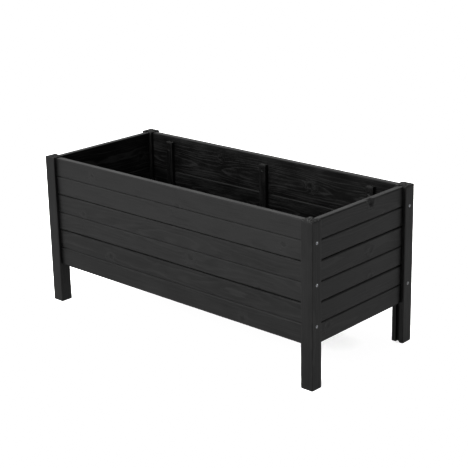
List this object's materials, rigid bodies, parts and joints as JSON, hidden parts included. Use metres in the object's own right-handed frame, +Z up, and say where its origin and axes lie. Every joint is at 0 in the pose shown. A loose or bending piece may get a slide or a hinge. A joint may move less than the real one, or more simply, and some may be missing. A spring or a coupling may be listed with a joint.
{
  "type": "raised planter on legs",
  "caption": "Long timber planter box on four post legs, with tongue-and-groove board walls, inside battens and a slatted floor, stained black.",
  "frame": {"origin": "on the ground, at the centre of the planter's footprint", "axes": "+X along the long walls, +Y towards the back wall, +Z up"},
  "size_m": [1, 0.43, 0.446],
  "materials": {
    "black_stained_wood": "black stain on planed softwood, satin, with the grain showing through",
    "zinc_plated_steel": "zinc-plated, satin"
  },
  "bodies": {
    "root": {"batten_back_left": "black_stained_wood", "batten_back_middle": "black_stained_wood", "batten_back_right": "black_stained_wood", "batten_front_left": "black_stained_wood", "batten_front_middle": "black_stained_wood", "batten_front_right": "black_stained_wood", "batten_screws": "zinc_plated_steel", "board_back_bottom": "black_stained_wood", "board_back_middle": "black_stained_wood", "board_back_top": "black_stained_wood", "board_front_bottom": "black_stained_wood", "board_front_middle": "black_stained_wood", "board_front_top": "black_stained_wood", "board_left_bottom": "black_stained_wood", "board_left_middle": "black_stained_wood", "board_left_top": "black_stained_wood", "board_right_bottom": "black_stained_wood", "board_right_middle": "black_stained_wood", "board_right_top": "black_stained_wood", "end_board_brads": "zinc_plated_steel", "floor_board_1": "black_stained_wood", "floor_board_2": "black_stained_wood", "floor_board_3": "black_stained_wood", "floor_board_4": "black_stained_wood", "floor_board_5": "black_stained_wood", "floor_board_6": "black_stained_wood", "floor_board_7": "black_stained_wood", "floor_board_8": "black_stained_wood", "floor_board_9": "black_stained_wood", "floor_ledger_back": "black_stained_wood", "floor_ledger_front": "black_stained_wood", "floor_nails": "zinc_plated_steel", "frame_screws": "zinc_plated_steel", "ledger_screws": "zinc_plated_steel", "post_back_left": "black_stained_wood", "post_back_right": "black_stained_wood", "post_front_left": "black_stained_wood", "post_front_right": "black_stained_wood"}
  },
  "joints": []
}
